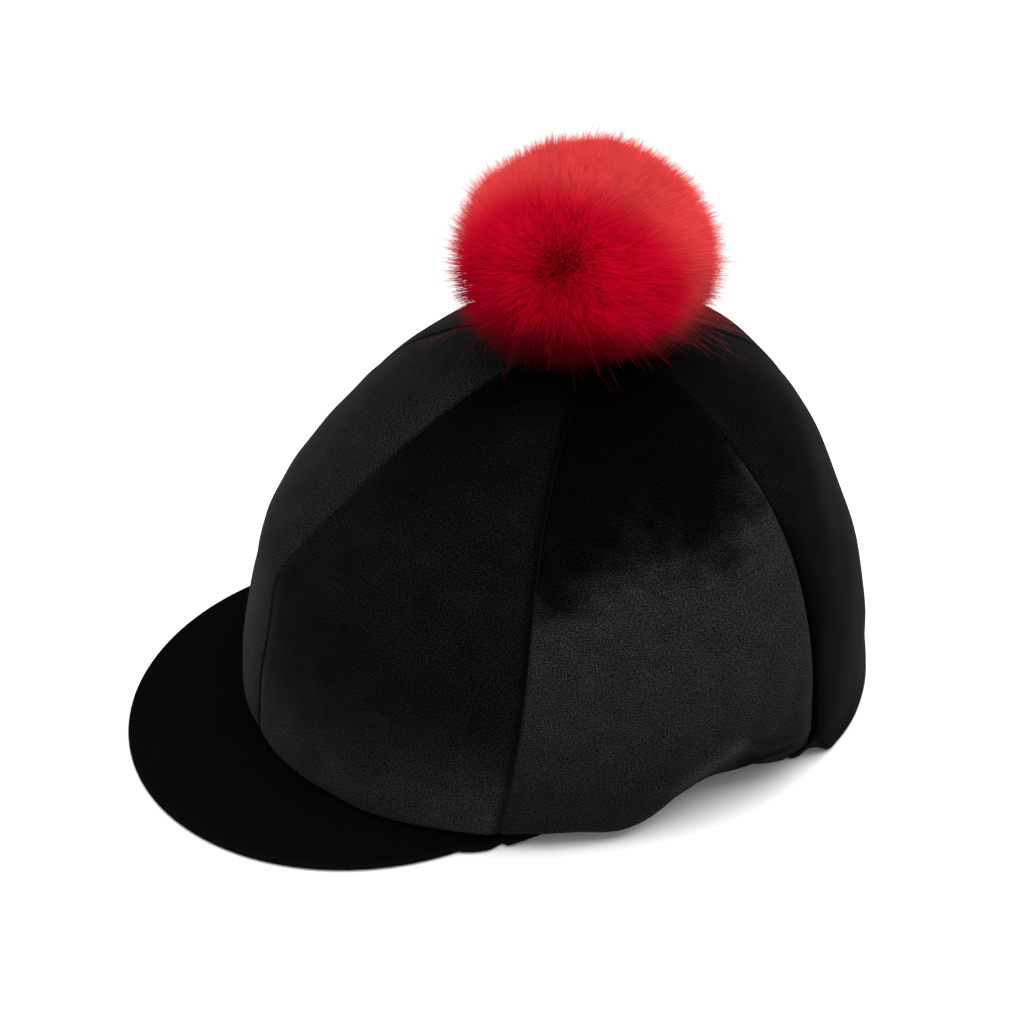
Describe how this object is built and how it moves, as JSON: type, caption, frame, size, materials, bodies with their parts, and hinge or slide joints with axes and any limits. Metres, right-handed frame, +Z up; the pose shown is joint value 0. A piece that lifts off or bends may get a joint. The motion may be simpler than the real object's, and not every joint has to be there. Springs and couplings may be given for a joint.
{
  "type": "riding hat",
  "caption": "Deep rounded riding hat of stretch velvet panels over a short stiff peak, with a large fur pompom on the crown.",
  "frame": {"origin": "on the surface that the hat rests on, under the middle of its length and width", "axes": "+Z up through the crown, -Y towards the front of the peak, +X towards the wearer's left"},
  "size_m": [0.2498, 0.3389, 0.2763],
  "materials": {
    "panel_velvet": "black stretch velvet, short soft nap, matt with a faint grey sheen",
    "hem_velvet": "black velvet folded over elastic, gathered",
    "peak_velvet": "deep black velvet drawn over a stiff blade",
    "pompom_fur": "long soft red fur with lighter coral tips"
  },
  "bodies": {
    "root": {"panel_front_left": "panel_velvet", "panel_side_left": "panel_velvet", "panel_back_left": "panel_velvet", "panel_front_right": "panel_velvet", "panel_side_right": "panel_velvet", "panel_back_right": "panel_velvet", "hem_band": "hem_velvet", "peak": "peak_velvet", "pompom": "pompom_fur"}
  },
  "joints": []
}
